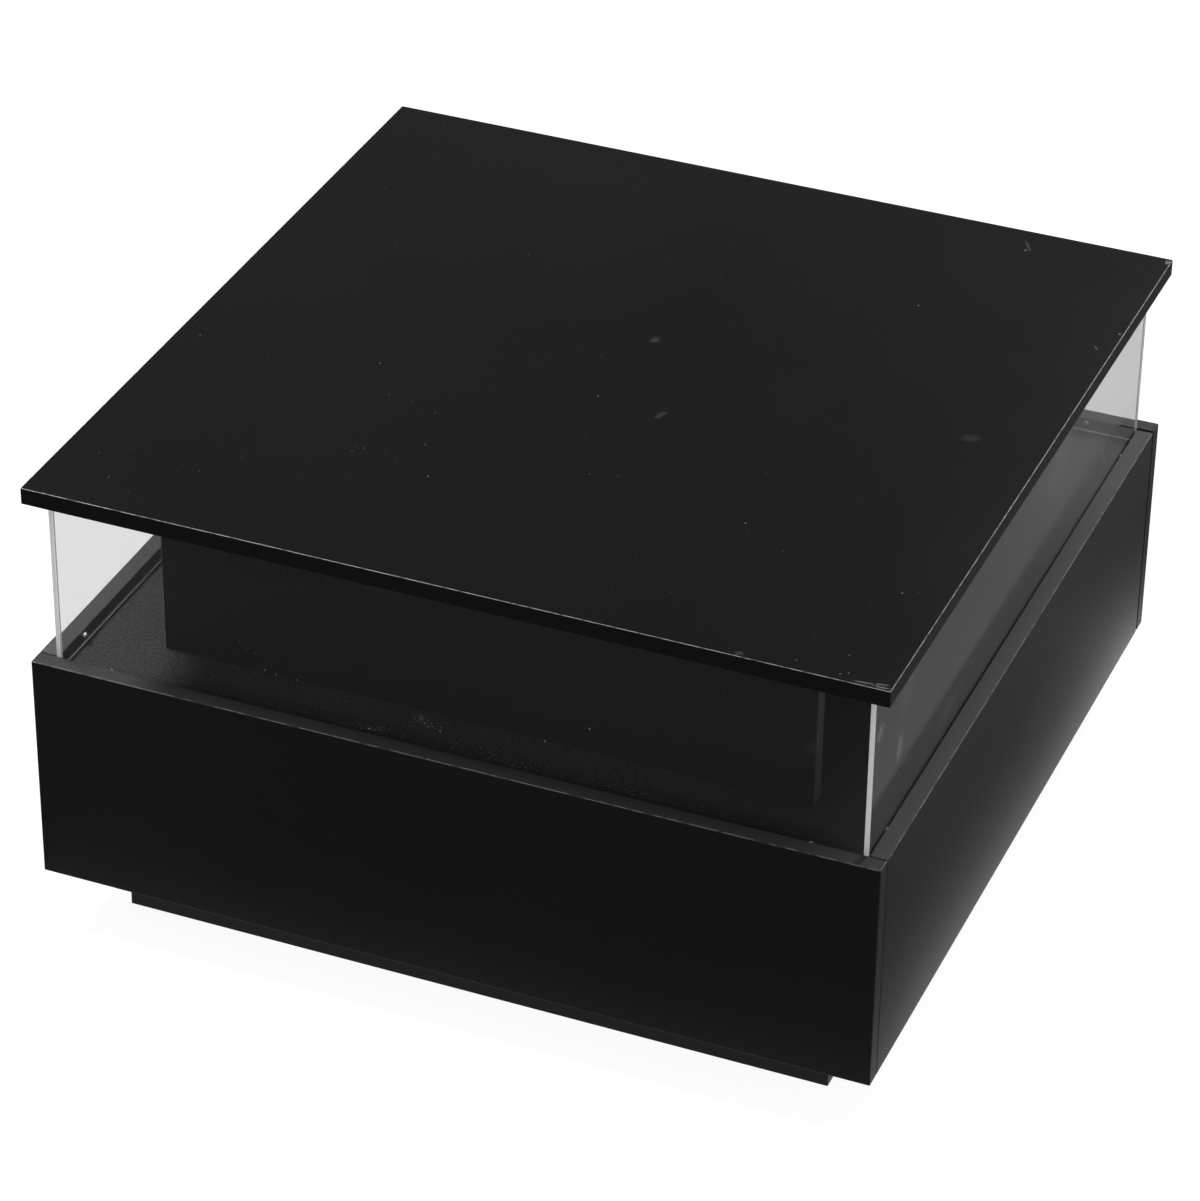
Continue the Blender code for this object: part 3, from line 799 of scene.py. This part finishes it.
for side, (axes, screws, marks, smears) in PANELS.items():
    node = "window_" + side
    low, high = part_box(node)
    thin = 0 if axes[0] == "y" else 1
    sheet = block(low, high)
    bmesh.ops.bevel(sheet, geom=sheet.edges[:], offset=PANEL_ARRIS, segments=1, affect="EDGES")
    for face in sheet.faces:
        outer = face.calc_center_median()[thin] * face.normal[thin] > 0
        polished = abs(face.normal[thin]) > 0.99
        face.material_index = (OUTSIDE if outer else CLEAR) if polished else SAWN
    outside = clear_acrylic("acrylic_" + side, axes, marks, smears)
    sheet = as_mesh(sheet, node + "_sheet", (CLEAN, SAWN_EDGE, outside))
    drill = bmesh.new()
    for end in screws.split():
        screw_low, screw_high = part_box(f"window_screw_{side}_{end}")
        centre = (screw_low + screw_high) / 2
        centre[thin] = (low[thin] + high[thin]) / 2
        turn = Vector((0, 0, 1)).rotation_difference(Vector((1 - thin, thin, 0))).to_matrix().to_4x4()
        bmesh.ops.create_cone(
            drill, cap_ends=True, segments=DRILL_SIDES, radius1=SCREW_HOLE_RADIUS,
            radius2=SCREW_HOLE_RADIUS, depth=DRILL_LENGTH, matrix=Matrix.Translation(centre) @ turn,
        )
    sheet = cut_away(sheet, as_mesh(drill, "drill", ()))
    panel = link_piece(node + "_sheet", sheet, "table", node)


# Panel screws
# Pan head chipboard screws of bright zinc plated steel with a cross recess, two at the foot of each
# panel. Their shanks go through the clear sheet into the board behind it.
SCREW_SIDES = 32
THREAD_PITCH = 0.0012
THREAD_ROOT = 0.72
RECESS_ARM = 0.62
RECESS_WIDTH = 0.0009
RECESS_DEPTH = 0.0013
PAN_HEAD_RISE = 0.0022
PAN_HEAD_RIM = 0.0010


def zinc_plate(name, colour, roughness):
    """Bright zinc plating, a little uneven in its gloss."""
    material, tree, surface = material_with(name, Metallic=1.0)
    pearl = place_group(tree, PEARL, Grain=1800.0, Contrast=0.3, Gloss=roughness, Drift=0.2)
    tree.links.new(tinted(tree, pearl["Tone"], colour), surface.inputs["Base Color"])
    tree.links.new(pearl["Roughness"], surface.inputs["Roughness"])
    return material


ZINC = (
    zinc_plate("zinc_plate", (0.76, 0.76, 0.75), 0.22),
    # Painted shade: the cross recess gets a darker zinc colour.
    zinc_plate("zinc_recess_shade", (0.30, 0.30, 0.30), 0.4),
)


def threaded_shank(radius, top, length):
    """Profile of a shank from its top down: thread crests and roots, and a sharp point."""
    root, tip = radius * THREAD_ROOT, radius * 1.6
    profile, level = [(root, top)], top
    while level > tip - length + THREAD_PITCH:
        profile += [(root, level - THREAD_PITCH * 0.3), (radius, level - THREAD_PITCH * 0.5)]
        level -= THREAD_PITCH
        profile.append((root, level + THREAD_PITCH * 0.3))
    return profile + [(root, tip - length), (0.0, -length)]


def pan_head(radius):
    """Profile of a domed head that stands on its seat at 0."""
    crown = PAN_HEAD_RISE - PAN_HEAD_RIM
    turns = [math.radians(turn) for turn in range(0, 91, 10)]
    dome = [(radius * math.sin(turn), PAN_HEAD_RIM + crown * math.cos(turn)) for turn in turns]
    return dome + [(radius, 0.0003), (radius - 0.0003, 0.0)]


def countersunk_head(radius):
    """Profile of a flat head, flush at 0, that tapers into the shank."""
    return [(0.0, 0.0), (radius - 0.0002, 0.0), (radius, -0.0001), (radius * 0.4, -0.0022)]


def cross_recess(arm, top):
    """A tapered cross to cut out of a screw head whose middle stands at top."""
    half = RECESS_WIDTH / 2
    quarter = [(arm, -half), (arm, half), (half, half)]
    outline = list(quarter)
    for _ in range(3):
        quarter = [(-y, x) for x, y in quarter]
        outline += quarter
    cross = bmesh.new()
    upper = [cross.verts.new((x, y, top + 0.001)) for x, y in outline]
    lower = [cross.verts.new((x * 0.5, y * 0.5, top - RECESS_DEPTH)) for x, y in outline]
    cross.faces.new(upper)
    cross.faces.new(lower[::-1])
    for first in range(len(outline)):
        second = (first + 1) % len(outline)
        cross.faces.new((upper[second], upper[first], lower[first], lower[second]))
    bmesh.ops.recalc_face_normals(cross, faces=cross.faces)
    return as_mesh(cross, "cross_recess", ())


def cross_screw(node, body, facing, head, rise, shank_radius):
    """A turned screw in the node's place, with its head towards facing."""
    low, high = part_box(node)
    axis = [abs(part) for part in facing].index(1)
    span = high - low
    radius = span[(axis + 1) % 3] / 2
    seat = (low + high) / 2
    seat[axis] += facing[axis] * (span[axis] / 2 - rise)
    profile = head(radius)
    profile += threaded_shank(shank_radius, profile[-1][1] - 0.0001, span[axis] - rise)
    screw = bmesh.new()
    points = [screw.verts.new((distance, 0.0, level)) for distance, level in profile]
    edges = [screw.edges.new(pair) for pair in zip(points, points[1:])]
    bmesh.ops.spin(
        screw, geom=points + edges, axis=(0, 0, 1), cent=(0, 0, 0), angle=math.tau,
        steps=SCREW_SIDES, use_merge=True,
    )
    bmesh.ops.remove_doubles(screw, verts=screw.verts, dist=0.000001)
    bmesh.ops.recalc_face_normals(screw, faces=screw.faces)
    turned = cut_away(as_mesh(screw, node + "_turned", ZINC), cross_recess(radius * RECESS_ARM, rise))
    turn = Vector((0, 0, 1)).rotation_difference(Vector(facing)).to_matrix().to_4x4()
    turned.transform(Matrix.Translation(seat) @ turn)
    turned.shade_smooth()
    turned.set_sharp_from_angle(angle=math.radians(35))
    piece = link_piece(node + "_turned", turned, body, node)


PANEL_SCREW_SHANK = 0.0019
for side, facing in (("left", (1, 0, 0)), ("right", (-1, 0, 0)), ("front", (0, 1, 0)), ("back", (0, -1, 0))):
    for end in PANELS[side][1].split():
        screw = f"window_screw_{side}_{end}"
        cross_screw(screw, "table", facing, pan_head, PAN_HEAD_RISE, PANEL_SCREW_SHANK)


# Lid
# The top board is banded on all four edges. It lies loose on the core and the panels, and two pine
# battens screwed underneath straddle the spine and keep it in place.
top_face = melamine("top_face", (0.0055, 0.0055, 0.0058), 0.235, 0.36)
top_edge = melamine("top_edge", (0.0070, 0.0070, 0.0073), 0.42, 0.35)
# Painted highlight: the arris is light grey along its whole length, for the bright hairline on the top's
# edges; the paler runs on it are rubbed wear.
top_arris_worn_and_highlit = worn_arris("top_arris_worn_and_highlit", (0.10, 0.10, 0.10), (0.42, 0.42, 0.41), 0.6, 90.0)
TOP_FINISH = (top_face, top_edge, top_edge, top_arris_worn_and_highlit, RAW_EDGE)
DUST_GREY = (0.42, 0.42, 0.41)
TOP_DUST = ((330.0, 0.10), (900.0, 0.06))
TOP_MARKS = (
    (-0.084, -0.241, 0.0009, 0.0008, 0, 0.3, 0.50), (-0.001, -0.053, 0.0009, 0.0009, 0, 0.3, 0.50),
    (0.198, -0.203, 0.0009, 0.0009, 0, 0.3, 0.55), (0.359, -0.255, 0.0010, 0.0009, 0, 0.3, 0.60),
    (0.208, 0.220, 0.0010, 0.0009, 0, 0.3, 0.50), (0.008, 0.062, 0.0070, 0.0050, 80, 1.6, 0.06),
    (0.063, -0.062, 0.0090, 0.0040, 70, 1.6, 0.05), (0.330, 0.010, 0.0110, 0.0080, 20, 1.2, 0.03),
    (0.266, 0.370, 0.0150, 0.0020, -62, 1.4, 0.08), (0.266, 0.362, 0.0020, 0.0007, -62, 0.4, 0.60),
    (0.3835, 0.2095, 0.0050, 0.0005, -45, 0.5, 0.40), (0.396, 0.243, 0.0020, 0.0012, 80, 1.0, 0.45),
    (0.397, 0.393, 0.0050, 0.0030, 90, 1.4, 0.35), (0.266, -0.395, 0.0050, 0.0035, 30, 2.2, 0.07),
    (0.313, -0.386, 0.0012, 0.0010, 0, 0.3, 0.16), (0.350, -0.362, 0.0012, 0.0010, 0, 0.3, 0.20),
    (0.353, -0.391, 0.0012, 0.0010, 0, 0.3, 0.30), (0.359, -0.387, 0.0012, 0.0010, 0, 0.3, 0.25),
    (0.375, -0.3955, 0.0120, 0.0018, 4, 2.6, 0.20), (0.389, -0.393, 0.0080, 0.0020, 14, 3.0, 0.20),
    (0.391, -0.3965, 0.0080, 0.0014, 2, 2.4, 0.30), (-0.343, 0.233, 0.0020, 0.0014, 0, 0.8, 0.05),
)

top = top_face.node_tree
top_place = plane_place(top, "xy")
for grain, share in TOP_DUST:
    cover(top_face, place_group(top, DUST, Place=top_place, Grain=grain, Share=share)["Mask"], DUST_GREY)
cover(top_face, marked(top, top_place, TOP_MARKS), DUST_GREY)
faced_board("top_board", "lid", "+x -x +y -y", TOP_FINISH, "+z-y +z+y +z-x +z+x")
planed_pine("lid_batten_left", "lid_batten_right")

BATTEN_SCREW_SHANK = 0.0018
for side in SIDES:
    for end in ENDS:
        screw = f"batten_screw_{side}_{end}"
        cross_screw(screw, "lid", (0, 0, -1), countersunk_head, 0.0, BATTEN_SCREW_SHANK)


low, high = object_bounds()
